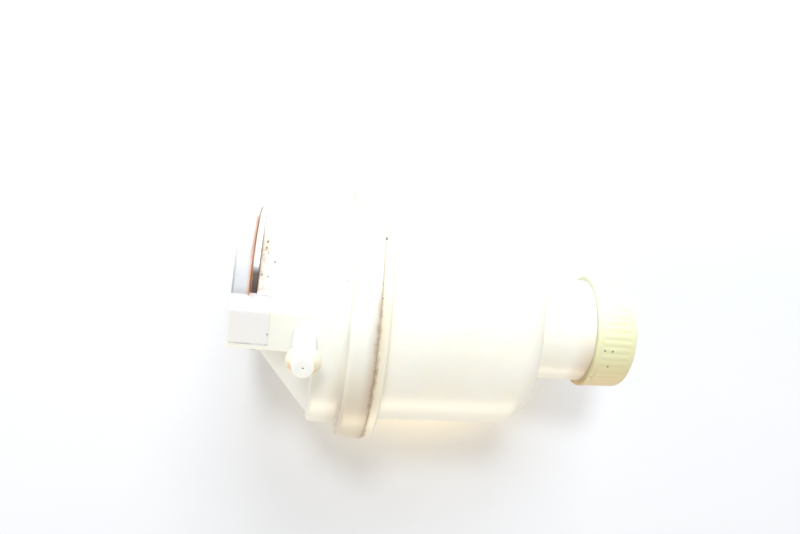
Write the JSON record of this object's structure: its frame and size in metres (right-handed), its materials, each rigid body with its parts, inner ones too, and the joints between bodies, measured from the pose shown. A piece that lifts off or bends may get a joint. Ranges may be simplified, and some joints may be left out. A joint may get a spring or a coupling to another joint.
{
  "type": "float valve",
  "caption": "Moulded float valve with a half-drum clip-on inlet collar, side hose nozzle, lever float and needle inside, and a ribbed screw cap on the neck.",
  "frame": {"origin": "centre of the inlet socket at the collar's outer face, on the chamber's axis", "axes": "+X along the chamber's axis from the inlet to the screw cap, +Z along the hose nozzle, +Y towards the cover's rounded half drum"},
  "size_m": [0.1127, 0.0716, 0.0816],
  "materials": {
    "natural_plastic": "translucent natural polymer, satin",
    "natural_body": "translucent natural polymer, slightly yellowed",
    "white_plastic": "white polymer, satin",
    "yellowed_plastic": "yellowed polymer, satin, ribbed",
    "float_plastic": "moulded polymer",
    "spring_steel": "spring steel with rust",
    "steel": "stainless steel",
    "brass": "turned brass",
    "rubber": "black nitrile rubber"
  },
  "bodies": {
    "housing": {"cover": "natural_plastic", "mount_collar": "white_plastic", "socket_oring": "rubber", "inlet_strainer": "float_plastic", "seam_gasket": "rubber", "chamber_body": "natural_body", "hose_nozzle": "white_plastic", "nozzle_oring": "rubber", "valve_seat": "brass", "seat_oring": "rubber", "hinge_bracket": "steel", "bracket_screw_1": "steel", "bracket_screw_2": "steel", "hinge_pin": "steel", "pin_clip": "steel"},
    "clip": {"retaining_clip": "spring_steel"},
    "float_lever": {"float_arm": "float_plastic", "float_shell": "float_plastic", "float_lid": "float_plastic", "float_screw": "steel"},
    "needle": {"needle_stem": "steel", "needle_tip": "rubber"},
    "cap_seal": {"cap_gasket": "rubber"},
    "cap": {"screw_cap": "yellowed_plastic"}
  },
  "joints": [
    {"name": "float_swing", "type": "hinge", "parent": "housing", "child": "float_lever", "pos_m": [0.0127, 0.006, 0.017], "axis": [0, -1, 0], "range_deg": [0, 16]},
    {"name": "needle_slide", "type": "slide", "parent": "housing", "child": "needle", "axis": [0, 0, 1], "range_m": [0, 0.0019]},
    {"name": "cap_lift", "type": "slide", "parent": "housing", "child": "cap_seal", "axis": [1, 0, 0], "range_m": [0, 0.0101]},
    {"name": "cap_turn", "type": "hinge", "parent": "cap_seal", "child": "cap", "pos_m": [0.1, 0, 0], "axis": [1, 0, 0], "range_deg": [0, 1200]},
    {"name": "clip_pull", "type": "slide", "parent": "housing", "child": "clip", "axis": [0, 1, 0], "range_m": [0, 0.018]}
  ],
  "couplings": [
    {"joint": "needle_slide", "follows": "float_swing", "m_per_rad": 0.0066},
    {"joint": "cap_lift", "follows": "cap_turn", "m_per_rad": 0.00047746}
  ]
}
